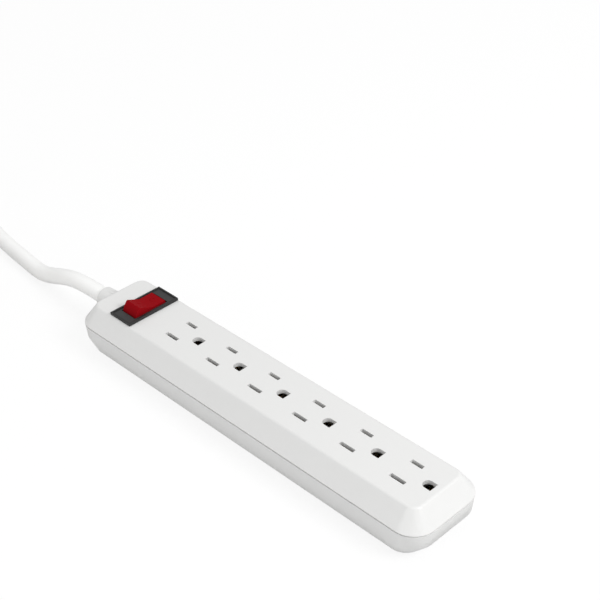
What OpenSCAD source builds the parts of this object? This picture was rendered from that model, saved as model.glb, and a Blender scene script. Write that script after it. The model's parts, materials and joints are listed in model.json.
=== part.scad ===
// Six-outlet power strip with a rocker switch and a coiled mains cord.
// The origin is under the middle of the housing: +X runs from the cord end to
// the far end, +Y runs across, and the strip rests on Z = 0. Millimetres.

/* [Housing] */
// Length of the housing at the seam
body_len = 228; // [210:1:280]
// Width of the housing at the seam
body_w = 46; // [44:1:60]
// Height of the top face
body_h = 26; // [25:0.5:34]
// Height of the seam between cover and base
seam_z = 16.5; // [15:0.5:18]
// Corner radius at the seam
seam_r = 11.5; // [10:0.5:14]
// How far the top face stands in from the seam
slope_in = 7; // [5:0.5:8]
// Thickness of the top face
face_t = 2.2; // [1.8:0.1:2.8]
// Thickness of the side walls and the floor
wall = 2; // [1.6:0.1:2.4]
// Height of the shadow groove at the seam
groove_h = 0.9; // [0.4:0.1:1]
// Depth of the shadow groove at the seam
groove_d = 0.8; // [0.4:0.1:0.9]

/* [Base] */
// Height at which the side wall turns under
foot_z = 8; // [6:0.5:10]
// Draft of the side wall down to that height
draft = 0.8; // [0.4:0.1:1.2]
// How far the underside stands in along the sides
under_side = 6; // [4:0.5:7]
// How far the underside stands in at the ends
under_end = 11; // [9:0.5:13]

/* [Outlets] */
// Number of outlets
outlet_count = 6; // [4:1:6]
// Spacing of the outlets
outlet_pitch = 29.2; // [28:0.1:30]
// Distance between the two blade slots of an outlet
blade_gap = 12.7; // [12.6:0.1:12.8]
// Distance from the blade slots to the ground hole
ground_off = 11.9; // [11.8:0.1:12]
// Width of a blade slot
slot_w = 2.1; // [2:0.1:2.4]
// Length of the neutral slot
neutral_len = 8.4; // [8.2:0.1:9]
// Length of the line slot
line_len = 6.8; // [6.6:0.1:7.4]
// Radius of the domed side of the ground hole
ground_r = 2.6; // [2.5:0.05:2.8]
// How far a blade reaches below the top face
blade_depth = 17.5; // [17:0.1:18]

/* [Switch] */
// Width of the switch flange along the strip
flange_w = 15; // [14.6:0.1:17]
// Length of the switch flange across the strip
flange_len = 31.6; // [30:0.1:32]
// Height of the flange above the top face
flange_h = 1.5; // [0.7:0.1:1.6]
// Width of the rocker
rocker_w = 10.2; // [10:0.1:11.6]
// Radius of the rocker's ends about its pivot
rocker_r = 10; // [9.5:0.1:10.4]
// Depth of the rocker's pivot below the top face
pivot_depth = 1.9; // [1.7:0.1:3.2]
// Travel of the rocker in degrees
swing = 24; // [20:1:26]
// Radius of the rocker's trunnions
trunnion_r = 1.4; // [1.2:0.1:1.6]

/* [Fasteners] */
// Radius of a housing screw
screw_r = 1.5; // [1.3:0.1:1.8]
// Radius of a housing screw's head
head_r = 2.8; // [2.6:0.1:3]
// Radius of a keyhole's round part
key_head_r = 4.2; // [4:0.1:4.6]
// Half width of a keyhole's slot
key_slot_r = 2.2; // [2:0.1:2.4]
// Length of a keyhole's slot from end to end
key_len = 9; // [8:0.5:11]
// Distance between the two keyholes
key_spacing = 100; // [90:1:110]

/* [Cord] */
// Diameter of the mains cord
cord_d = 8.8; // [8:0.1:9]
// Middle radius of the cord's coil
coil_r = 44; // [40:1:48]
// Diameter of the insulated leads inside
lead_d = 2.8; // [2.4:0.1:3]

/* [Plug] */
// Width of the plug's body
plug_w = 24; // [23:0.5:26]
// Height of the plug's body
plug_h = 24; // [23:0.5:26]
// Length of the plug's body
plug_len = 34; // [30:1:38]

/* [Hidden] */
$fn = 48;
eps = 0.01;
fit = 0.05;      // running clearance on a radius
gap = 0.15;      // clearance between pieces that only sit together

cord_r = cord_d / 2;
in_z = body_h - face_t;                 // underside of the top face
top_r = seam_r - slope_in;              // corner radius of the top face
slope = slope_in / (body_h - seam_z);   // inward run of the cover per mm of height
first_x = -57 + (6 - outlet_count) * outlet_pitch / 2;
switch_x = first_x - 28.7 - (6 - outlet_count) * outlet_pitch / 2;
pivot_z = body_h - pivot_depth;

// Inside of the housing
ledge_w = 4.6;       // reach of the ledge and its tongue from the seam line
tongue_t = 1;
tongue_h = 1.6;
ledge_t = 2;
floor_z = wall;
key_pad_z = floor_z + 0.6;
key_pad = key_head_r + 1.6;

// Snout round the cord, half in the cover and half in the base
snout_out = 5;       // how far it stands past the seam line
snout_r1 = 6.4;      // where it meets the sloped end
snout_r2 = 5.6;      // at its mouth
snout_len = 11;
snout_gap = 0.5;     // dark gap round the cord at the mouth
exit_x = -body_len / 2 - snout_out;

// Screws that hold the cover
screw_y = body_w / 2 - 9;
screw_xs = [-(body_len / 2 - 15.6), 0, body_len / 2 - 15.6];
boss_r = 3.4;
counterbore_z = 5;
head_h = 2;
screw_top = body_h - 6;
pilot_cut = 0.05;

// Contacts
brass_t = 0.8;
leaf_t = 0.5;
tray_t = 1.6;
bus_z = body_h - blade_depth - 1.5;   // a blade stops short of the webs
tray_z = bus_z - tray_t;
leaf_top = body_h - 5.5;
bus_x0 = first_x - 9;
bus_x1 = first_x + (outlet_count - 1) * outlet_pitch + 6;
ground_x1 = first_x + (outlet_count - 1) * outlet_pitch + ground_off + 4.2;
clip_half = 4.2;      // half width of a blade clip's web
bus_y = blade_gap / 2 + 2.05;
tray_w = 20.8;
rail_y = 8;
post_r = 0.9;

// Switch
frame_w = 13.8;       // body of the switch below its flange
frame_len = 27.2;
frame_z = 9;          // underside of the switch body
cavity_z = 10.2;
cavity_w = rocker_w + 0.5;
cavity_len = 2 * rocker_r + 0.8;
ridge_a = 36;         // angle of a ridge seen from the pivot, rocker level
skirt = 2;            // how far the rocker reaches below its pivot
pocket_z = 2.7;       // top of the pockets for lamp and resistor
lamp_r = 1.9;
resistor_r = 1;
arm_z = cavity_z + 2.8;
arm_tilt = 8;
tab_w = 6.3;
tab_z0 = 4;
tab_y = 8.6;
plunger_drop = pivot_z - arm_z - 0.4 - gap;

// Cord clamp
clamp_x = -(body_len / 2 - 10);
clamp_w = 6;
ear_y = 8.8;
ear_z = 15;
ear_t = 2;
clamp_screw_r = 1.4;

// Route of the cord from the snout to the coil, then from the coil to the plug
lay_z = cord_r;
coil_at = [-290, -22];
coil_lift = 0.6;      // the tie passes under the coil
cord_route = [
    [exit_x, 0, seam_z], [-127, 0, 16.5], [-137, 0, 16.1], [-147, 0, 14.6],
    [-156, 0, 11.9], [-165, 0, 8.4], [-174, 0, 5.6], [-183, 0.6, lay_z],
    [-193, 1.6, lay_z], [-203, 2.6, lay_z], [-215, 4, lay_z], [-228, 6, lay_z],
    [-240, 9, lay_z], [-252, 13, lay_z + 0.3], [-264, 17.4, lay_z + coil_lift]
];
tail_route = [
    [-274, -65.8, 13.8], [-266, -65, 13.4], [-257, -63.2, 12.8], [-250, -61.2, 12.2],
    [-245, -60, 12], [-241, -60, 12]
];
plug_at = [-241, -60, plug_h / 2];
relief_len = 20;
blade_out = 17.5;
pin_out = 20.5;
blade_t = 1.5;

// Routes of the leads inside the housing; each starts and ends along X
jacket_end = clamp_x + 5;
lead_r = lead_d / 2;
tab_x0 = switch_x - tab_w / 2;
tab_x1 = switch_x + tab_w / 2;
supply_route = [
    [jacket_end, 0, 18.6], [jacket_end + 1.5, 0, 18.6], [-95.6, 0, 16.8], [-94.8, 0, 13.4],
    [-94.6, 0, 9], [-93, 0, 6.8], [tab_x0 - 2, 0, 6.2], [tab_x0, 0, 6.2]
];
neutral_route = [
    [jacket_end, -2.4, 14.6], [jacket_end + 1.5, -2.4, 14.6], [-95.4, -3.4, 12.6],
    [-94.8, -4.2, 9], [-93.2, -4.3, 6.2], [-90, -4.3, 5.2], [-78, -4.3, 5.2],
    [-74, -4.8, 5.6], [-70.4, -7.2, 8.2], [bus_x0 - 2, -bus_y, 9.4], [bus_x0, -bus_y, 9.4]
];
ground_route = [
    [jacket_end, 2.4, 14.6], [jacket_end + 1.5, 2.4, 14.6], [-95.4, 3.4, 12.6],
    [-94.8, 4.2, 9], [-93.2, 4.3, 6.2], [-90, 4.3, 5.2], [-78, 4.3, 5.2],
    [-74, 3.4, 5.4], [-70.4, 0.8, 6.6], [bus_x0 - 2, 0, 7.4], [bus_x0, 0, 7.4]
];
load_route = [
    [tab_x1, tab_y, 6.6], [tab_x1 + 2, tab_y, 6.6], [-75, tab_y, 7.4],
    [bus_x0 - 2, bus_y, 9.4], [bus_x0, bus_y, 9.4]
];
lamp_route = [
    [tab_x1, -tab_y, 6.6], [tab_x1 + 2, -tab_y, 6.6], [-76, -9.8, 8.4],
    [-70.6, -9.2, 11.6], [bus_x0 - 2, -bus_y, 12.2], [bus_x0, -bus_y, 12.2]
];

white = [0.93, 0.93, 0.92];
cream = [0.86, 0.85, 0.8];
black = [0.09, 0.09, 0.09];
red = [0.62, 0.05, 0.07];
brass = [0.78, 0.62, 0.3];
steel = [0.66, 0.67, 0.68];

function unit(v) = v / norm(v);
// Direction of a route at its point i
function heading(p, i) = unit(p[min(i + 1, len(p) - 1)] - p[max(i - 1, 0)]);
// One ring of a swept tube, square to the route
function ring(p, i, r, n) =
    let (d = heading(p, i), s = unit(cross(d, [0, 0, 1])), u = cross(s, d))
    [for (k = [0:n - 1]) p[i] + r * (cos(360 * k / n) * u + sin(360 * k / n) * s)];

// A tube of radius r swept through the points of a route
module swept(p, r, n) {
    rings = len(p);
    points = [for (i = [0:rings - 1]) each ring(p, i, r, n)];
    sides = [
        for (i = [0:rings - 2], k = [0:n - 1])
            let (a = i * n + k, b = i * n + (k + 1) % n)
            each [[a, b, b + n], [a, b + n, a + n]]
    ];
    start = [for (k = [0:n - 1]) n - 1 - k];
    end = [for (k = [0:n - 1]) (rings - 1) * n + k];
    polyhedron(points, concat([start], sides, [end]));
}

// A cylinder along X, from x0 to x1, at (y, z)
module rod(x0, x1, y, z, r, r2 = undef) {
    translate([x0, y, z]) rotate([0, 90, 0])
        cylinder(r1 = r, r2 = is_undef(r2) ? r : r2, h = x1 - x0);
}

// A block from one corner to the other
module block(a, b) {
    translate(a) cube(b - a);
}

// The four corners of the cover's shape, stood in by t and up to height z
module cover_shape(t, z) {
    h = z - seam_z;
    hull() {
        for (x = [-1, 1], y = [-1, 1]) {
            translate([x * (body_len / 2 - seam_r), y * (body_w / 2 - seam_r), seam_z])
                cylinder(r1 = seam_r - t, r2 = seam_r - t - slope * h, h = h);
        }
    }
}

// One level of the base's shape: its sides and ends stand in by their own amounts
module base_level(z, side_in, end_in) {
    r = seam_r - min(side_in, seam_r - 4);
    for (x = [-1, 1], y = [-1, 1]) {
        translate([x * (body_len / 2 - end_in - r), y * (body_w / 2 - side_in - r), z])
            cylinder(r = r, h = eps);
    }
}

// The base's outer shape, from the underside to the seam groove
module base_shape() {
    round_z = foot_z / 2;
    side0 = draft + 1.3;
    end0 = draft + 0.42 * under_end;
    hull() {
        base_level(seam_z - groove_h, 0, 0);
        base_level(foot_z, draft, draft);
        for (a = [0:15:90]) {
            base_level(round_z * (1 - sin(a)), side0 + (under_side - side0) * (1 - cos(a)),
                       end0 + (under_end - end0) * (1 - cos(a)));
        }
    }
}

// The hollow of the base, open at the top
module base_hollow() {
    hull() {
        base_level(seam_z + 1, wall, wall);
        base_level(foot_z, draft + wall, draft + wall);
        base_level(floor_z, under_side + 0.5, under_end + 0.5);
    }
}

// A straight-sided outline of the seam, stood in by t, from z0 to z1
module seam_prism(t, z0, z1) {
    r = seam_r - t;
    translate([0, 0, z0]) hull() {
        for (x = [-1, 1], y = [-1, 1]) {
            translate([x * (body_len / 2 - seam_r), y * (body_w / 2 - seam_r), 0])
                cylinder(r = r, h = z1 - z0);
        }
    }
}

// The snout's outside, and the hole through it for the cord
module snout() {
    rod(exit_x, exit_x + snout_len, 0, seam_z, snout_r2, snout_r1);
}
module snout_bore() {
    rod(exit_x - 1, clamp_x - 2, 0, seam_z, cord_r + snout_gap);
}

// Half spaces above and below the seam
module above_seam() {
    block([-body_len, -body_w, seam_z], [body_len, body_w, 2 * body_h]);
}
module below_seam() {
    block([-body_len, -body_w, -1], [body_len, body_w, seam_z]);
}

// One outlet's two slots and its ground hole, cut through the face
module outlet_cuts(x) {
    translate([x, 0, in_z - 1]) {
        translate([-neutral_len / 2, -blade_gap / 2 - slot_w / 2, 0])
            cube([neutral_len, slot_w, face_t + 2]);
        translate([-line_len / 2, blade_gap / 2 - slot_w / 2, 0])
            cube([line_len, slot_w, face_t + 2]);
        translate([ground_off - 0.3, 0, 0]) {
            cylinder(r = ground_r, h = face_t + 2);
            translate([0, -ground_r, 0]) cube([ground_r + 0.5, 2 * ground_r, face_t + 2]);
        }
    }
}

module top_cover() {
    color(white) difference() {
        union() {
            difference() {
                cover_shape(0, body_h);
                translate([0, 0, -eps]) cover_shape(wall, in_z + eps);
            }
            for (x = screw_xs, y = [-screw_y, screw_y]) {
                translate([x, y, seam_z + fit]) cylinder(r = boss_r - 0.4, h = in_z - seam_z);
            }
            // posts that press the contact tray onto the base
            for (i = [0:outlet_count - 2], y = [-1, 1]) {
                translate([first_x + (i + 0.55) * outlet_pitch, y * (tray_w / 2 - 0.5), bus_z])
                    cylinder(r = post_r, h = in_z - bus_z + eps, $fn = 24);
            }
            intersection() {
                snout();
                above_seam();
            }
        }
        snout_bore();
        for (i = [0:outlet_count - 1]) outlet_cuts(first_x + i * outlet_pitch);
        block([switch_x - frame_w / 2 - gap, -frame_len / 2 - gap, in_z - 1],
              [switch_x + frame_w / 2 + gap, frame_len / 2 + gap, body_h + 1]);
        for (x = screw_xs, y = [-screw_y, screw_y]) {
            translate([x, y, seam_z - 1])
                cylinder(r = screw_r - pilot_cut, h = screw_top - seam_z + 1.5);
        }
    }
}

// One keyhole through the floor, its slot running towards +X
module keyhole(x) {
    translate([x, 0, -1]) {
        translate([-key_len / 2, 0, 0]) cylinder(r = key_head_r, h = key_pad_z + 2);
        translate([key_len / 2 - key_slot_r, 0, 0]) cylinder(r = key_slot_r, h = key_pad_z + 2);
        translate([-key_len / 2, -key_slot_r + fit, 0])
            cube([key_len - key_slot_r, 2 * (key_slot_r - fit), key_pad_z + 2]);
    }
}

module base_shell() {
    color(white) difference() {
        union() {
            difference() {
                union() {
                    base_shape();
                    seam_prism(groove_d, seam_z - groove_h, seam_z);
                    intersection() {
                        snout();
                        below_seam();
                    }
                }
                base_hollow();
            }
            // ledge and tongue that locate the cover
            difference() {
                union() {
                    seam_prism(wall - 0.5, seam_z - ledge_t, seam_z);
                    seam_prism(ledge_w - tongue_t, seam_z - 1, seam_z + tongue_h);
                }
                seam_prism(ledge_w, seam_z - ledge_t - 1, seam_z + tongue_h + 1);
            }
            for (x = screw_xs, y = [-screw_y, screw_y]) {
                translate([x, y, eps]) cylinder(r = boss_r, h = seam_z - eps);
            }
            // rails that carry the contact tray
            for (y = [-1, 1]) {
                block([bus_x0, y * rail_y - 0.6, floor_z - eps],
                      [ground_x1 + 1, y * rail_y + 0.6, tray_z]);
            }
            // thicker strip of floor round the keyholes
            block([-key_spacing / 2 - key_len / 2 - key_pad, -key_pad, 1],
                  [key_spacing / 2 + key_len / 2 + key_pad, key_pad, key_pad_z]);
            // cradle and screw posts of the cord clamp
            block([clamp_x - clamp_w / 2, -5.6, floor_z - eps],
                  [clamp_x + clamp_w / 2, 5.6, seam_z - 1.2]);
            for (y = [-ear_y, ear_y]) {
                translate([clamp_x, y, floor_z - eps])
                    cylinder(r = 2.6, h = ear_z - floor_z, $fn = 32);
            }
        }
        snout_bore();
        rod(clamp_x - clamp_w, clamp_x + clamp_w, 0, seam_z, cord_r + fit);
        for (x = screw_xs, y = [-screw_y, screw_y]) {
            translate([x, y, -1]) cylinder(r = screw_r + gap, h = body_h);
            translate([x, y, -1]) cylinder(r = head_r + 0.4, h = counterbore_z + 1);
        }
        for (y = [-ear_y, ear_y]) {
            translate([clamp_x, y, floor_z + 3])
                cylinder(r = clamp_screw_r - pilot_cut, h = ear_z, $fn = 32);
        }
        // the tongue stops short of the snout
        block([-body_len / 2, -snout_r1 - 0.5, seam_z],
              [clamp_x - clamp_w / 2, snout_r1 + 0.5, seam_z + tongue_h + 1]);
        for (x = [-1, 1]) keyhole(x * key_spacing / 2);
    }
}

// A pan-head screw standing head down, its head's bearing face at z
module housing_screw(x, y) {
    difference() {
        translate([x, y, 0]) {
            translate([0, 0, counterbore_z - 1])
                cylinder(r = screw_r, h = screw_top - counterbore_z + 1);
            translate([0, 0, counterbore_z - head_h]) cylinder(r = head_r, h = head_h);
        }
        for (a = [0, 90]) {
            translate([x, y, counterbore_z - head_h]) rotate([0, 0, a])
                cube([3.2, 0.7, 1.6], center = true);
        }
    }
}

module housing_screws() {
    color(steel) for (x = screw_xs, y = [-screw_y, screw_y]) housing_screw(x, y);
}

// Profile of one spring leaf: it leans in to a throat and flares at the top
module leaf(x0, x1, foot, throat) {
    mid = leaf_top - 4;
    translate([x1, 0, 0]) rotate([90, 0, -90]) linear_extrude(x1 - x0) polygon([
        [-foot, bus_z], [-foot - leaf_t, bus_z], [-throat - leaf_t, mid],
        [-throat - leaf_t - 0.9, leaf_top], [-throat - 0.9, leaf_top], [-throat, mid]
    ]);
}

// The two leaves and the web of one clip, centred on y = 0
module clip(x, half, foot, throat) {
    block([x - half, -foot - leaf_t, bus_z], [x + half, foot + leaf_t, bus_z + brass_t]);
    for (m = [0, 1]) mirror([0, m, 0]) leaf(x - half, x + half, foot, throat);
}

// A live bus: an upright strip beside the clips, one clip under each slot
module live_bus(side, half) {
    y = side * blade_gap / 2;
    out = side * bus_y;
    color(brass) {
        block([bus_x0, out - brass_t / 2, bus_z], [bus_x1, out + brass_t / 2, bus_z + 6]);
        for (i = [0:outlet_count - 1]) {
            translate([0, y, 0]) clip(first_x + i * outlet_pitch, half, 1.4, 0.95);
        }
    }
}

module neutral_bus() {
    live_bus(-1, 3.6);
}

module line_bus() {
    live_bus(1, 3);
}

module ground_bus() {
    hole_r = ground_r + 0.5;
    color(brass) {
        for (i = [0:outlet_count - 1]) {
            x = first_x + i * outlet_pitch + ground_off;
            difference() {
                block([x - 4.2, -hole_r - 0.7, bus_z], [x + 4.2, hole_r + 0.7, bus_z + brass_t]);
                translate([x, 0, bus_z - 1]) cylinder(r = hole_r, h = brass_t + 2);
            }
            for (m = [0, 1]) mirror([0, m, 0]) leaf(x - 2.4, x + 2.4, hole_r, 2.45);
            block([max(bus_x0, x - outlet_pitch + 4.2 - eps), -1.4, bus_z],
                  [x - 4.2 + eps, 1.4, bus_z + brass_t]);
        }
    }
}

module contact_tray() {
    color(cream) difference() {
        union() {
            block([bus_x0, -tray_w / 2, tray_z], [ground_x1 + 1, tray_w / 2, bus_z]);
            // ribs that keep the poles apart
            for (i = [0:outlet_count - 1], y = [-1, 1]) {
                x = first_x + i * outlet_pitch;
                block([x - clip_half - 0.6, y * 3.6 - 0.5, bus_z - eps],
                      [x + clip_half + 0.6, y * 3.6 + 0.5, bus_z + 5]);
            }
        }
        for (i = [0:outlet_count - 1]) {
            translate([first_x + i * outlet_pitch + ground_off, 0, tray_z - 1])
                cylinder(r = ground_r + 0.5, h = tray_t + 2);
        }
    }
}

module switch_frame() {
    z0 = pivot_z;
    color(black) difference() {
        union() {
            block([switch_x - flange_w / 2, -flange_len / 2, body_h],
                  [switch_x + flange_w / 2, flange_len / 2, body_h + flange_h]);
            block([switch_x - frame_w / 2, -frame_len / 2, frame_z],
                  [switch_x + frame_w / 2, frame_len / 2, body_h + eps]);
            // barbs that snap under the face
            for (m = [0, 1]) mirror([0, m, 0]) {
                translate([switch_x + 4, frame_len / 2 - eps, 0]) rotate([90, 0, -90])
                    linear_extrude(8) polygon([
                        [0, in_z - 5], [-0.9, in_z - 0.9], [-0.9, in_z - 0.1], [0, in_z - 0.1]
                    ]);
            }
        }
        // recess inside the rim
        block([switch_x - flange_w / 2 + 1, -flange_len / 2 + 1, body_h + flange_h - 0.55],
              [switch_x + flange_w / 2 - 1, flange_len / 2 - 1, body_h + flange_h + 1]);
        block([switch_x - cavity_w / 2, -cavity_len / 2, cavity_z],
              [switch_x + cavity_w / 2, cavity_len / 2, body_h + flange_h + 1]);
        rod(switch_x - frame_w / 2 - 1, switch_x + frame_w / 2 + 1, 0, z0, trunnion_r + fit);
        for (y = [-tab_y, 0, tab_y]) {
            block([switch_x - tab_w / 2 - fit, y - brass_t / 2 - fit, frame_z - 1],
                  [switch_x + tab_w / 2 + fit, y + brass_t / 2 + fit, cavity_z + 1]);
        }
    }
}

// Everything that tilts with the rocker is drawn level and turned to its stored pose
module tilted(a) {
    translate([switch_x, 0, pivot_z]) rotate([a, 0, 0]) children();
}

// Side view of the rocker: two planes that meet in a shallow valley and end on an arc
module rocker_profile() {
    far = rocker_r + 1;
    valley = rocker_r * (sin(ridge_a) - cos(ridge_a) * tan(swing / 2));
    rise = far * tan(swing / 2);
    intersection() {
        circle(r = rocker_r, $fn = 96);
        polygon([
            [-far, -skirt], [far, -skirt], [far, valley + rise], [0, valley], [-far, valley + rise]
        ]);
    }
}

module rocker() {
    color(red) tilted(-swing / 2) difference() {
        union() {
            translate([-rocker_w / 2, 0, 0]) rotate([90, 0, 90])
                linear_extrude(rocker_w) rocker_profile();
            rod(-frame_w / 2 + 0.1, frame_w / 2 - 0.1, 0, 0, trunnion_r);
            translate([0, 0, -skirt - 3.4]) cylinder(r = 2.3, h = 4, $fn = 32);
        }
        translate([0, 0, -skirt - 4]) cylinder(r = 1.5, h = 5.8, $fn = 32);
        for (y = [-1, 1]) {
            block([-4.4, y * 5.2 - 2.4, -skirt - 1], [4.4, y * 5.2 + 2.4, pocket_z]);
        }
    }
}

module rocker_spring() {
    turns = 4;
    color(steel) tilted(-swing / 2) translate([0, 0, -skirt - 0.7]) {
        for (i = [0:turns - 1]) {
            translate([0, 0, i * 0.75]) rotate_extrude($fn = 32)
                translate([1.1, 0]) circle(r = 0.25, $fn = 16);
        }
        // upright wire that stands in for the pitch between the turns
        translate([1.1, 0, 0]) cylinder(r = 0.2, h = (turns - 1) * 0.75, $fn = 16);
    }
}

module rocker_plunger() {
    tip_r = 1.2;
    shank = plunger_drop - skirt - 1 - tip_r;
    color(cream) tilted(-swing / 2) translate([0, 0, -plunger_drop + tip_r]) {
        sphere(r = tip_r, $fn = 32);
        cylinder(r = tip_r, h = shank, $fn = 32);
    }
}

module neon_lamp() {
    color([0.95, 0.6, 0.35]) tilted(-swing / 2) {
        rod(-3.4, 2.2, -5.2, pocket_z - lamp_r, lamp_r);
        translate([2.2, -5.2, pocket_z - lamp_r]) sphere(r = lamp_r);
    }
}

module lamp_resistor() {
    color([0.76, 0.66, 0.48]) tilted(-swing / 2) rod(-3, 3, 5.2, pocket_z - resistor_r, resistor_r);
}

module contact_arm() {
    reach = 8;
    rise = reach * tan(arm_tilt);
    color(brass) translate([switch_x, 0, arm_z]) rotate([arm_tilt, 0, 0]) {
        translate([-2.6, 0, 0]) rotate([90, 0, 90]) linear_extrude(5.2) polygon([
            [-reach, rise - 0.4], [0, -0.4], [reach, rise - 0.4],
            [reach, rise + 0.4], [0, 0.4], [-reach, rise + 0.4]
        ]);
        rotate([arm_tilt, 0, 0]) translate([0, 6.6, -0.7]) cylinder(r = 1.3, h = 0.6, $fn = 32);
    }
}

module tab(y, z1) {
    difference() {
        block([switch_x - tab_w / 2, y - brass_t / 2, tab_z0],
              [switch_x + tab_w / 2, y + brass_t / 2, z1]);
        translate([switch_x, y + 1, tab_z0 + 2.2]) rotate([90, 0, 0])
            cylinder(r = 0.9, h = 2, $fn = 24);
    }
}

module supply_terminal() {
    color(brass) tab(0, arm_z - 0.7);
}

module load_terminal() {
    z1 = cavity_z + 1;
    color(brass) {
        tab(tab_y, z1);
        block([switch_x - 2.6, 5.2, cavity_z + 0.1], [switch_x + 2.6, tab_y + 0.4, z1]);
        translate([switch_x, 6.6, z1 - eps]) cylinder(r = 1.3, h = 0.75, $fn = 32);
    }
}

module lamp_terminal() {
    color(brass) tab(-tab_y, cavity_z + 0.6);
}

module cord_clamp() {
    arch_r = cord_r + 1.8;
    color(cream) difference() {
        union() {
            rod(clamp_x - clamp_w / 2, clamp_x + clamp_w / 2, 0, seam_z, arch_r);
            block([clamp_x - clamp_w / 2, -ear_y - 2.8, ear_z],
                  [clamp_x + clamp_w / 2, ear_y + 2.8, ear_z + ear_t]);
        }
        rod(clamp_x - clamp_w, clamp_x + clamp_w, 0, seam_z, cord_r + fit);
        block([clamp_x - clamp_w, -arch_r - 1, 0], [clamp_x + clamp_w, arch_r + 1, seam_z - 1]);
        for (y = [-ear_y, ear_y]) {
            translate([clamp_x, y, ear_z - 1]) cylinder(r = clamp_screw_r + gap, h = 5, $fn = 32);
        }
    }
}

module clamp_screws() {
    color(steel) for (y = [-ear_y, ear_y]) translate([clamp_x, y, 0]) {
        difference() {
            union() {
                translate([0, 0, floor_z + 4])
                    cylinder(r = clamp_screw_r, h = ear_z + ear_t - floor_z - 3, $fn = 32);
                translate([0, 0, ear_z + ear_t]) cylinder(r = 2.5, h = 1.6, $fn = 32);
            }
            for (a = [0, 90]) {
                translate([0, 0, ear_z + ear_t + 1.6]) rotate([0, 0, a])
                    cube([3, 0.7, 1.6], center = true);
            }
        }
    }
}

module cord_entry() {
    color(white) rod(exit_x, jacket_end, 0, seam_z, cord_r);
}

module supply_lead() {
    color(black) swept(supply_route, lead_r, 8);
}

module load_lead() {
    color(black) swept(load_route, lead_r, 8);
}

module neutral_lead() {
    color(white) swept(neutral_route, lead_r, 8);
}

module ground_lead() {
    color([0.1, 0.5, 0.2]) swept(ground_route, lead_r, 8);
}

module lamp_lead() {
    color(white) swept(lamp_route, 0.8, 8);
}

module power_cord() {
    color(white) swept(cord_route, cord_r, 12);
}

module cord_coil() {
    color(white) translate([coil_at[0], coil_at[1], coil_lift]) rotate_extrude($fn = 96)
        translate([coil_r, cord_r]) union() {
            circle(r = cord_r, $fn = 32);
            translate([0, cord_d]) circle(r = cord_r, $fn = 32);
            translate([-cord_r, 0]) square([cord_d, cord_d]);
        }
}

module cord_tail() {
    color(white) swept(tail_route, cord_r, 12);
}

module cord_tie() {
    t = 0.55;
    w = 7;
    color(black) translate([coil_at[0] - coil_r, coil_at[1], coil_lift]) difference() {
        block([-cord_r - t - fit, -w / 2, -t], [cord_r + t + 0.3, w / 2, 2 * cord_d + t + fit]);
        block([-cord_r - fit, -w, 0], [cord_r + 0.3, w, 2 * cord_d + fit]);
    }
}

// The plug's own frame: +X out of its face, its axis at the middle
module plug_body() {
    bead = 3;
    color(white) translate(plug_at) difference() {
        union() {
            rod(0, relief_len, 0, 0, cord_r + 1.2, cord_r + 2.8);
            for (i = [0:3]) rod(2 + i * 4.6, 4.4 + i * 4.6, 0, 0, cord_r + 2.4 + i * 0.3);
            hull() {
                for (y = [-1, 1], z = [-1, 1]) {
                    rod(relief_len + 5, relief_len + plug_len, y * (plug_w / 2 - bead),
                        z * (plug_h / 2 - bead), bead);
                    rod(relief_len - eps, relief_len + 5, y * 4.5, z * 4.5, bead);
                }
            }
        }
    }
}

module blade(y, w) {
    x0 = relief_len + plug_len;
    color(brass) translate(plug_at) translate([x0, y, -4.6]) difference() {
        hull() {
            block([0, -blade_t / 2, -w / 2], [blade_out - 2, blade_t / 2, w / 2]);
            block([0, -blade_t / 2 + 0.5, -w / 2 + 1], [blade_out, blade_t / 2 - 0.5, w / 2 - 1]);
        }
        translate([blade_out - 4.5, 2, 0]) rotate([90, 0, 0]) cylinder(r = 1.6, h = 4, $fn = 32);
    }
}

module plug_line_blade() {
    blade(blade_gap / 2, 6.35);
}

module plug_neutral_blade() {
    blade(-blade_gap / 2, 7.9);
}

module plug_ground_pin() {
    pin_r = 2.38;
    color(brass) translate(plug_at) translate([relief_len + plug_len, 0, ground_off - 4.6]) {
        rod(0, pin_out - pin_r, 0, 0, pin_r);
        translate([pin_out - pin_r, 0, 0]) sphere(r = pin_r);
    }
}

top_cover();
base_shell();
housing_screws();
neutral_bus();
line_bus();
ground_bus();
contact_tray();
switch_frame();
rocker();
rocker_spring();
rocker_plunger();
neon_lamp();
lamp_resistor();
contact_arm();
supply_terminal();
load_terminal();
lamp_terminal();
cord_clamp();
clamp_screws();
cord_entry();
supply_lead();
load_lead();
neutral_lead();
ground_lead();
lamp_lead();
power_cord();
cord_coil();
cord_tail();
cord_tie();
plug_body();
plug_line_blade();
plug_neutral_blade();
plug_ground_pin();
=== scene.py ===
import bmesh
import bpy
import json
import math
from mathutils import Matrix, Vector

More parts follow.
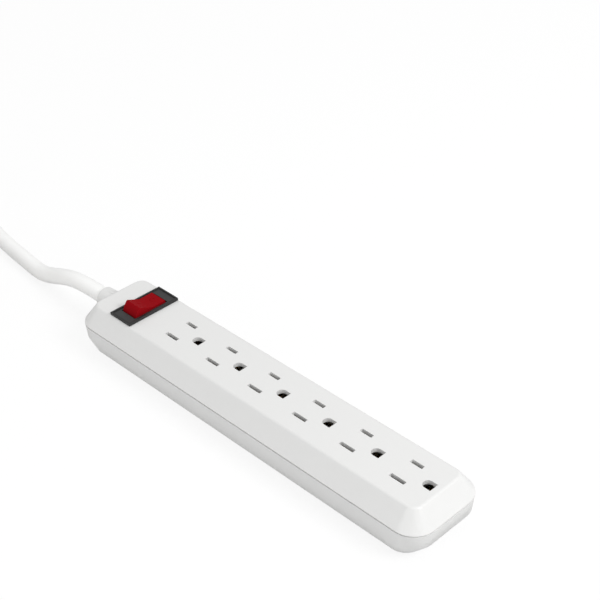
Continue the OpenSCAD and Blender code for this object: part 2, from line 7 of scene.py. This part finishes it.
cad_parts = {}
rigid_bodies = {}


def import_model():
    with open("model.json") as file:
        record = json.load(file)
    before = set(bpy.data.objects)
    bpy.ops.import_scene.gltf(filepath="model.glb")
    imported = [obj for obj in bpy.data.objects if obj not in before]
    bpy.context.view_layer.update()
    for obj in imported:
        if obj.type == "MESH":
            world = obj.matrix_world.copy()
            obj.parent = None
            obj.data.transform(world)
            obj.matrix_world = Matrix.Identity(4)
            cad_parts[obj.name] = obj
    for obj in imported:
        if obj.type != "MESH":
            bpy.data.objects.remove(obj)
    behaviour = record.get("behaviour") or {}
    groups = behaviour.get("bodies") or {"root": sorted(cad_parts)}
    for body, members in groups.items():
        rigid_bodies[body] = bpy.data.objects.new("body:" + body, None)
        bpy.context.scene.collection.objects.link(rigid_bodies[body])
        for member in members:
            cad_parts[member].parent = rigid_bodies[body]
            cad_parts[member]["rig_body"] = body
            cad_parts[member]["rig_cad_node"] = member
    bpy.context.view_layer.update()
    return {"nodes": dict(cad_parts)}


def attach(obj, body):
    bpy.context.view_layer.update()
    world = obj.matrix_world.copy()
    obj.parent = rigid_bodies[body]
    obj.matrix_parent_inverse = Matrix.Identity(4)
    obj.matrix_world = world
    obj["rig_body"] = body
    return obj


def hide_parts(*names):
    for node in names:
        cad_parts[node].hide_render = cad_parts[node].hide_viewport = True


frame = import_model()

nodes = frame["nodes"]
mm = 0.001
bpy.ops.object.select_all(action="DESELECT")

# ---------------------------------------------------------------- camera
# A long lens looks down on the strip from in front of its long side.
camera_data = bpy.data.cameras.new("product_camera")
camera_data.sensor_width = 36
camera_data.lens = 78.36
camera = bpy.data.objects.new("product_camera", camera_data)
bpy.context.collection.objects.link(camera)
turn = Matrix.Rotation(math.radians(45.4), 4, "Z")
tilt = Matrix.Rotation(math.radians(90 - 34.83), 4, "X")
roll = Matrix.Rotation(math.radians(-0.91), 4, "Z")
place = Matrix.Translation((0.35206, -0.32191, 0.40313))
camera.matrix_world = place @ turn @ tilt @ roll
bpy.context.scene.camera = camera
bpy.context.scene.view_settings.view_transform = "Standard"


# ---------------------------------------------------------------- cord
# A round flexible cord of three conductors in a white PVC jacket.
# It is extruded, so it is smooth and has only faint waves along its length.
def hex_colour(code):
    """Turns an sRGB hex colour into the linear values that a shader takes."""
    parts = [int(code[i : i + 2], 16) / 255 for i in (1, 3, 5)]
    return [p / 12.92 if p <= 0.04045 else ((p + 0.055) / 1.055) ** 2.4 for p in parts] + [1]


def add_node(material, kind, inputs, **settings):
    """Adds a node with its settings, and fills or links its inputs."""
    node = material.node_tree.nodes.new(kind)
    for name, value in settings.items():
        setattr(node, name, value)
    for name, value in inputs.items():
        if isinstance(value, bpy.types.NodeSocket):
            material.node_tree.links.new(value, node.inputs[name])
        else:
            node.inputs[name].default_value = value
    return node


def start_material(name, code, roughness, **shader_values):
    """Starts a material from its shader's own values, and returns it with the shader."""
    material = bpy.data.materials.new(name)
    material.use_nodes = True
    shader = material.node_tree.nodes["Principled BSDF"]
    shader.inputs["Base Color"].default_value = hex_colour(code)
    shader.inputs["Roughness"].default_value = roughness
    for name, value in shader_values.items():
        shader.inputs[name.replace("_", " ")].default_value = value
    return material, shader


def wear(material, shader, pattern_mm, height_mm, rough_low, rough_high):
    """Gives a surface a fine relief and a roughness that varies a little over it."""
    links = material.node_tree.links
    place = add_node(material, "ShaderNodeTexCoord", {}).outputs["Object"]
    grain = add_node(
        material,
        "ShaderNodeTexNoise",
        {"Vector": place, "Scale": 1 / (pattern_mm * mm), "Detail": 3.0},
    )
    relief = add_node(
        material,
        "ShaderNodeBump",
        {"Height": grain.outputs["Fac"], "Distance": height_mm * mm, "Strength": 1.0},
    )
    links.new(relief.outputs["Normal"], shader.inputs["Normal"])
    handled = add_node(
        material, "ShaderNodeTexNoise", {"Vector": place, "Scale": 1 / (18 * mm), "Detail": 4.0}
    )
    spread = add_node(
        material,
        "ShaderNodeMapRange",
        {"Value": handled.outputs["Fac"], "To Min": rough_low, "To Max": rough_high},
    )
    links.new(spread.outputs["Result"], shader.inputs["Roughness"])


jacket, jacket_shader = start_material("pvc_jacket_white", "#FDFDFC", 0.4, IOR=1.53)
wear(jacket, jacket_shader, 2.5, 0.02, 0.36, 0.46)

cord_r = 4.4
seam_z = 16.5
exit_x = -119
coil_x, coil_y, coil_r, coil_lift = -290, -22, 44, 0.6
climb_start, climb_span = 215, 95
start_route = [
    (exit_x, 0, seam_z), (-127, 0, 16.5), (-137, 0, 16.1), (-147, 0, 14.6),
    (-156, 0, 11.9), (-165, 0, 8.4), (-174, 0, 5.6), (-183, 0.6, 4.4), (-193, 1.6, 4.4),
    (-203, 2.6, 4.4), (-215, 4, 4.4), (-228, 6, 4.4), (-240, 9, 4.4), (-252, 13, 4.7),
    (-264, 17.4, 5), (-277, 20.8, 5),
]
end_route = [
    (-274, -65.8, 13.8), (-266, -65, 13.4), (-257, -63.2, 12.8), (-250, -61.2, 12.2),
    (-245, -60, 12), (-238, -60, 12), (-230, -60, 12),
]


def coil_point(turned):
    """A point on the coil, where turned is the angle from its start in degrees."""
    angle = math.radians(90 + turned)
    # the cord climbs by one diameter where it comes round to its own start
    climb = min(max((turned - climb_start) / climb_span, 0), 1)
    climb = climb * climb * (3 - 2 * climb)
    height = coil_lift + cord_r + 2 * cord_r * climb
    return coil_x + coil_r * math.cos(angle), coil_y + coil_r * math.sin(angle), height


coil_route = [coil_point(turned) for turned in range(0, 526, 15)]
route = [Vector(p) * mm for p in start_route + coil_route + end_route]
cord_curve = bpy.data.curves.new("mains_cord", "CURVE")
cord_curve.dimensions = "3D"
cord_curve.bevel_depth = cord_r * mm
cord_curve.bevel_resolution = 7
cord_curve.resolution_u = 6
cord_curve.use_fill_caps = True
spline = cord_curve.splines.new("BEZIER")
spline.bezier_points.add(len(route) - 1)
for knot, point in zip(spline.bezier_points, route):
    knot.co = point
    knot.handle_left_type = "AUTO"
    knot.handle_right_type = "AUTO"
cord = bpy.data.objects.new("mains_cord", cord_curve)
bpy.context.collection.objects.link(cord)
cord_curve.materials.append(jacket)
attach(cord, "housing")
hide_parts("power_cord", "cord_coil", "cord_tail")

# ---------------------------------------------------------------- floor and light
# A pale sweep under broad, soft lamps, as in a light tent. The camera sees the
# paper almost evenly white, and the strip gets a little less light back from it.
bpy.ops.mesh.primitive_plane_add(size=8, location=(0, 0, -0.05 * mm))
floor = bpy.context.object
floor.name = "studio_floor"
paper, paper_shader = start_material("studio_paper", "#FFFFFF", 0.9)
wear(paper, paper_shader, 4, 0.005, 0.86, 0.94)
glow = add_node(paper, "ShaderNodeEmission", {"Strength": 1.0})
seen = add_node(paper, "ShaderNodeLightPath", {}).outputs["Is Camera Ray"]
given_back, glow_share = 0.68, 0.85
tone = add_node(
    paper, "ShaderNodeMapRange", {"Value": seen, "To Min": given_back, "To Max": 1.0}
)
paper.node_tree.links.new(tone.outputs["Result"], paper_shader.inputs["Base Color"])
share = add_node(paper, "ShaderNodeMath", {0: seen, 1: glow_share}, operation="MULTIPLY")
blend = add_node(paper, "ShaderNodeMixShader", {0: share.outputs[0], 1: paper_shader.outputs[0]})
paper.node_tree.links.new(glow.outputs[0], blend.inputs[2])
paper.node_tree.links.new(
    blend.outputs[0], paper.node_tree.nodes["Material Output"].inputs["Surface"]
)
floor.data.materials.append(paper)

world = bpy.data.worlds.new("light_tent")
world.use_nodes = True
world.node_tree.nodes["Background"].inputs["Color"].default_value = (1, 1, 1, 1)
world.node_tree.nodes["Background"].inputs["Strength"].default_value = 0.6
bpy.context.scene.world = world


def add_lamp(name, location, size, watts):
    """A square lamp that points at the middle of the strip."""
    data = bpy.data.lights.new(name, "AREA")
    data.shape = "SQUARE"
    data.size = size
    data.energy = watts
    lamp = bpy.data.objects.new(name, data)
    bpy.context.collection.objects.link(lamp)
    lamp.location = location
    lamp.rotation_euler = (-Vector(location)).to_track_quat("-Z", "Y").to_euler()


add_lamp("end_lamp", (1.05, 0.3, 1.0), 0.6, 11)
add_lamp("top_lamp", (-0.3, 0.5, 1.5), 1.2, 3)
add_lamp("side_lamp", (-0.1, -1.4, 0.3), 0.8, 4)

# ---------------------------------------------------------------- cover
# The top half of the housing, moulded in white ABS with a fine satin texture.
# Its sides slope in to a flat face, and the slots for the plugs go through that face.
def start_plate(name, low, high, z, radius, segments=12, is_round=lambda corner: True):
    """Starts a piece as a flat plate in edit mode, with the chosen corners rounded."""
    bpy.ops.object.select_all(action="DESELECT")
    middle = ((low[0] + high[0]) / 2 * mm, (low[1] + high[1]) / 2 * mm, z * mm)
    bpy.ops.mesh.primitive_plane_add(size=1, location=middle)
    piece = bpy.context.object
    piece.name = name
    piece.scale = ((high[0] - low[0]) * mm, (high[1] - low[1]) * mm, 1)
    bpy.ops.object.transform_apply(location=True, rotation=True, scale=True)
    bpy.ops.object.mode_set(mode="EDIT")
    bpy.ops.mesh.select_mode(type="VERT")
    mesh = bmesh.from_edit_mesh(piece.data)
    for corner in mesh.verts:
        corner.select_set(is_round(corner.co / mm))
    mesh.select_flush(True)
    bmesh.update_edit_mesh(piece.data)
    bpy.ops.mesh.bevel(offset=radius * mm, segments=segments, affect="VERTICES")
    bpy.ops.mesh.select_mode(type="FACE")
    bpy.ops.mesh.select_all(action="SELECT")
    return piece


def pull(distance, spread=(1, 1), about=(0, 0, 0)):
    """Extrudes the selected face along Z and spreads it about a point."""
    bpy.ops.mesh.extrude_region_move(TRANSFORM_OT_translate={"value": (0, 0, distance * mm)})
    bpy.ops.transform.resize(value=(spread[0], spread[1], 1), center_override=Vector(about) * mm)


def close_edit():
    """Leaves edit mode with every face pointing outwards."""
    bpy.ops.mesh.select_all(action="SELECT")
    bpy.ops.mesh.normals_make_consistent(inside=False)
    bpy.ops.object.mode_set(mode="OBJECT")


def apply_modifier(piece, kind, **settings):
    """Adds a modifier with its settings and applies it."""
    modifier = piece.modifiers.new(kind.lower(), kind)
    for name, value in settings.items():
        setattr(modifier, name, value)
    bpy.ops.object.select_all(action="DESELECT")
    bpy.context.view_layer.objects.active = piece
    piece.select_set(True)
    bpy.ops.object.modifier_apply(modifier=modifier.name)


def cut(piece, cutter):
    """Cuts a piece with a cutter and throws the cutter away."""
    apply_modifier(piece, "BOOLEAN", operation="DIFFERENCE", object=cutter, solver="EXACT")
    bpy.data.objects.remove(cutter)


def soften(piece, width, angle, segments=3):
    """Rounds every edge that is sharper than an angle."""
    apply_modifier(
        piece,
        "BEVEL",
        width=width * mm,
        segments=segments,
        limit_method="ANGLE",
        angle_limit=math.radians(angle),
    )


def join(pieces):
    """Joins pieces into the first of them."""
    bpy.ops.object.select_all(action="DESELECT")
    for piece in pieces:
        piece.select_set(True)
    bpy.context.view_layer.objects.active = pieces[0]
    bpy.ops.object.join()
    return pieces[0]


def fit_out(piece, material, body, smooth=30):
    """Gives a finished piece its material, its shading and its place on a body."""
    piece.data.materials.clear()
    piece.data.materials.append(material)
    bpy.ops.object.select_all(action="DESELECT")
    bpy.context.view_layer.objects.active = piece
    piece.select_set(True)
    bpy.ops.object.shade_smooth_by_angle(angle=math.radians(smooth))
    apply_modifier(piece, "WEIGHTED_NORMAL", keep_sharp=True)
    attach(piece, body)


body_len, body_w, body_h = 228, 46, 26
seam_r, slope_in, face_t = 11.5, 7, 2.2
first_x, pitch, outlet_count = -57, 29.2, 6
blade_y, slot_w, neutral_len, line_len = 6.35, 2.1, 8.4, 6.8
ground_off, ground_r = 11.9, 2.6
switch_x, flat_z = -85.7, 26.95
opening_w, opening_len = 14.1, 27.5
cut_depth = 6

abs_white, abs_shader = start_material("moulded_abs_white", "#E5E5E4", 0.32, IOR=1.53)
wear(abs_white, abs_shader, 0.5, 0.006, 0.27, 0.37)

half = Vector((body_len / 2, body_w / 2))
cover = start_plate("cover", -half, half, seam_z, seam_r, 16)
bpy.ops.mesh.inset(thickness=slope_in * mm)
bpy.ops.transform.translate(value=(0, 0, (body_h - seam_z) * mm))
close_edit()
soften(cover, 0.9, 30, 4)
apply_modifier(cover, "SOLIDIFY", thickness=face_t * mm, offset=-1, use_even_offset=True)

# snout: the half round the cord that belongs to the cover
snout_len, snout_r1, snout_r2, bore_r = 11, 6.4, 5.6, 4.9
bpy.ops.mesh.primitive_cone_add(
    vertices=64,
    radius1=snout_r2 * mm,
    radius2=snout_r1 * mm,
    depth=snout_len * mm,
    location=((exit_x + snout_len / 2) * mm, 0, seam_z * mm),
    rotation=(0, math.radians(90), 0),
)
snout = bpy.context.object
bpy.ops.object.transform_apply(location=True, rotation=True, scale=True)
bpy.ops.object.mode_set(mode="EDIT")
bpy.ops.mesh.select_all(action="SELECT")
bpy.ops.mesh.bisect(
    plane_co=(0, 0, seam_z * mm), plane_no=(0, 0, 1), clear_inner=True, use_fill=True
)
close_edit()
apply_modifier(cover, "BOOLEAN", operation="UNION", object=snout, solver="EXACT")
bpy.data.objects.remove(snout)
bpy.ops.mesh.primitive_cylinder_add(
    vertices=64,
    radius=bore_r * mm,
    depth=16 * mm,
    location=((exit_x + 6) * mm, 0, seam_z * mm),
    rotation=(0, math.radians(90), 0),
)
cut(cover, bpy.context.object)

# one outlet's cutters, copied along the face
cutters = []
for i in range(outlet_count):
    x = first_x + i * pitch
    low_z = body_h - cut_depth
    for length, y in ((neutral_len, -blade_y), (line_len, blade_y)):
        low = (x - length / 2, y - slot_w / 2)
        high = (x + length / 2, y + slot_w / 2)
        slot = start_plate("slot_cutter", low, high, low_z, 0.25, 3)
        pull(cut_depth + 2)
        close_edit()
        cutters.append(slot)
    middle = x + ground_off
    hole = start_plate(
        "ground_cutter",
        (middle - 0.3 - ground_r, -ground_r),
        (middle + 0.2 + ground_r, ground_r),
        low_z,
        ground_r - 0.01,
        14,
        lambda corner, middle=middle: corner.x < middle,
    )
    pull(cut_depth + 2)
    close_edit()
    cutters.append(hole)
opening = start_plate(
    "switch_cutter",
    (switch_x - opening_w / 2, -opening_len / 2),
    (switch_x + opening_w / 2, opening_len / 2),
    15,
    0.4,
    2,
)
pull(15)
close_edit()
cut(cover, join(cutters + [opening]))
soften(cover, 0.18, 50, 2)
fit_out(cover, abs_white, "housing")
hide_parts("top_cover")


# ---------------------------------------------------------------- base
# The bottom half of the housing, of the same white ABS. It carries the works,
# and its edge stands back a little to leave a shadow line under the cover.
def from_frame(name, node, bevel_width, bevel_angle=40, segments=2):
    """Copies a node of the frame, merges its mesh and rounds its edges as moulding does."""
    piece = nodes[node].copy()
    piece.data = nodes[node].data.copy()
    piece.name = name
    piece.parent = None
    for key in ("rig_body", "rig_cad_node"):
        del piece[key]
    bpy.context.collection.objects.link(piece)
    bpy.ops.object.select_all(action="DESELECT")
    bpy.context.view_layer.objects.active = piece
    piece.select_set(True)
    bpy.ops.object.mode_set(mode="EDIT")
    bpy.ops.mesh.select_all(action="SELECT")
    bpy.ops.mesh.remove_doubles(threshold=0.002 * mm)
    bpy.ops.mesh.dissolve_limited(angle_limit=math.radians(1))
    bpy.ops.object.mode_set(mode="OBJECT")
    soften(piece, bevel_width, bevel_angle, segments)
    return piece


base = from_frame("base", "base_shell", 0.25)
fit_out(base, abs_white, "housing")
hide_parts("base_shell")

# ---------------------------------------------------------------- switch bezel
# The snap-in frame of the switch, moulded in black nylon.
# Its flat ends lie a little below a raised rim, and their colour is painted paler than the
# rim's: a painted sheen.
pa_black, pa_shader = start_material("moulded_nylon_black", "#232325", 0.5, IOR=1.53)
wear(pa_black, pa_shader, 0.4, 0.008, 0.44, 0.56)
spot = add_node(pa_black, "ShaderNodeTexCoord", {}).outputs["Object"]
height = add_node(pa_black, "ShaderNodeSeparateXYZ", {"Vector": spot}).outputs["Z"]
# painted sheen: where the height is that of the flat ends, the base colour is paler than on the
# rim
on_flat = add_node(
    pa_black, "ShaderNodeMath", {0: height, 1: flat_z * mm, 2: 0.08 * mm}, operation="COMPARE"
)
painted_sheen_tone = add_node(
    pa_black,
    "ShaderNodeMapRange",
    {"Value": on_flat.outputs[0], "To Min": 0.006, "To Max": 0.024},
)
pa_black.node_tree.links.new(painted_sheen_tone.outputs["Result"], pa_shader.inputs["Base Color"])
bezel = from_frame("switch_bezel", "switch_frame", 0.18)
fit_out(bezel, pa_black, "housing")
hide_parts("switch_frame")

# ---------------------------------------------------------------- rocker
# The lighted rocker, moulded in clear red polycarbonate with a polished face.
# A bar and a ring are moulded on its two halves.
pivot_z, half_swing = 24.1, math.radians(12)
valley_z, mark_out = 4.16, 4.3
pc_red, pc_shader = start_material(
    "polished_polycarbonate_red", "#8E0F16", 0.26, IOR=1.58, Specular_IOR_Level=0.005
)
wear(pc_red, pc_shader, 3, 0.004, 0.2, 0.3)
rocker = from_frame("rocker_cap", "rocker", 0.3, 35, 3)
marks = []
for side, kind in ((-1, "bar"), (1, "ring")):
    slope = half_swing * side
    centre = Vector((0, side * mark_out, valley_z + mark_out * math.tan(half_swing)))
    if kind == "bar":
        bpy.ops.mesh.primitive_cube_add(size=1)
        mark = bpy.context.object
        mark.scale = (0.5 * mm, 2.6 * mm, 0.3 * mm)
    else:
        bpy.ops.mesh.primitive_torus_add(
            major_radius=1.3 * mm, minor_radius=0.25 * mm, major_segments=40, minor_segments=10
        )
        mark = bpy.context.object
        mark.scale = (1, 1, 0.6)
    bpy.ops.object.transform_apply(location=False, rotation=False, scale=True)
    mark.matrix_world = (
        Matrix.Translation(Vector((switch_x, 0, pivot_z)) * mm)
        @ Matrix.Rotation(-half_swing, 4, "X")
        @ Matrix.Translation(centre * mm)
        @ Matrix.Rotation(slope, 4, "X")
    )
    bpy.ops.object.transform_apply(location=True, rotation=True, scale=True)
    if kind == "bar":
        soften(mark, 0.1, 40, 2)
    marks.append(mark)
rocker = join([rocker] + marks)
fit_out(rocker, pc_red, "rocker")
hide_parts("rocker")

# ---------------------------------------------------------------- plug
# The plug is moulded over the cord in one piece of white PVC: a block with
# rounded edges, and behind it a ribbed sleeve that keeps the cord from kinking.
plug_face_x, plug_y, plug_z = -187, -60, 12
plug_half = 12
plug = start_plate("plug", (-plug_half, -plug_half), (plug_half, plug_half), 0, 3.5, 6)
for distance, spread in ((22, 1), (4, 0.9), (3, 0.86), (5, 0.94)):
    pull(distance, (spread, spread))
close_edit()
soften(plug, 1.2, 30, 4)
bpy.ops.object.select_all(action="DESELECT")
bpy.ops.mesh.primitive_circle_add(
    vertices=48, radius=7.6 * mm, fill_type="NGON", location=(0, 0, 33 * mm)
)
sleeve = bpy.context.object
bpy.ops.object.transform_apply(location=True, rotation=True, scale=True)
bpy.ops.object.mode_set(mode="EDIT")
bpy.ops.mesh.select_mode(type="FACE")
bpy.ops.mesh.select_all(action="SELECT")
pull(2)
for _ in range(4):
    for distance, spread in ((0.3, 0.86), (1.6, 0.985), (0.3, 1.13), (2.2, 0.985)):
        pull(distance, (spread, spread))
pull(1.4, (0.8, 0.8))
close_edit()
soften(sleeve, 0.25, 40, 2)
plug = join([plug, sleeve])
plug.matrix_world = (
    Matrix.Translation(Vector((plug_face_x, plug_y, plug_z)) * mm)
    @ Matrix.Rotation(math.radians(-90), 4, "Y")
)
bpy.ops.object.transform_apply(location=True, rotation=True, scale=True)
fit_out(plug, jacket, "housing")
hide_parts("plug_body")

# ---------------------------------------------------------------- small parts of the frame
# Screws, contacts, leads and the switch's works keep the frame's own shapes.
def dress(names, material):
    """Gives nodes of the frame a material."""
    for name in names:
        nodes[name].data.materials.clear()
        nodes[name].data.materials.append(material)


zinc, zinc_shader = start_material("zinc_plated_steel", "#B9BABC", 0.32, Metallic=1.0)
wear(zinc, zinc_shader, 0.8, 0.004, 0.26, 0.42)
dress(["housing_screws", "clamp_screws"], zinc)

spring_wire, wire_shader = start_material("drawn_spring_wire", "#A7A8AB", 0.28, Metallic=1.0)
wear(spring_wire, wire_shader, 0.3, 0.002, 0.22, 0.34)
dress(["rocker_spring"], spring_wire)

brass, brass_shader = start_material("rolled_brass", "#C9A45C", 0.3, Metallic=1.0)
wear(brass, brass_shader, 0.6, 0.003, 0.24, 0.4)
dress(
    [
        "neutral_bus", "line_bus", "ground_bus", "contact_arm", "supply_terminal",
        "load_terminal", "lamp_terminal", "plug_line_blade", "plug_neutral_blade",
        "plug_ground_pin",
    ],
    brass,
)

nylon, nylon_shader = start_material("natural_nylon", "#DDD8C8", 0.5, IOR=1.53)
wear(nylon, nylon_shader, 0.7, 0.01, 0.44, 0.58)
dress(["contact_tray", "cord_clamp", "rocker_plunger"], nylon)

neon, neon_shader = start_material("neon_lamp_glass", "#F0B48A", 0.06, IOR=1.52)
neon_shader.inputs["Transmission Weight"].default_value = 0.8
wear(neon, neon_shader, 2, 0.002, 0.04, 0.1)
dress(["neon_lamp"], neon)

ceramic, ceramic_shader = start_material("lacquered_resistor", "#C7A979", 0.4)
wear(ceramic, ceramic_shader, 0.5, 0.01, 0.34, 0.48)
dress(["lamp_resistor"], ceramic)

for name, code, leads in (
    ("black_lead_pvc", "#1E1E1F", ["supply_lead", "load_lead"]),
    ("white_lead_pvc", "#E6E6E4", ["neutral_lead", "lamp_lead"]),
    ("green_lead_pvc", "#1D6B34", ["ground_lead"]),
):
    lead_pvc, lead_shader = start_material(name, code, 0.4, IOR=1.53)
    wear(lead_pvc, lead_shader, 1.2, 0.01, 0.34, 0.46)
    dress(leads, lead_pvc)
dress(["cord_entry"], jacket)

tie_pvc, tie_shader = start_material("tie_pvc_black", "#1A1A1B", 0.5, IOR=1.53)
wear(tie_pvc, tie_shader, 0.8, 0.02, 0.44, 0.6)
tie = from_frame("coil_tie", "cord_tie", 0.15)
fit_out(tie, tie_pvc, "housing")
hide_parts("cord_tie")
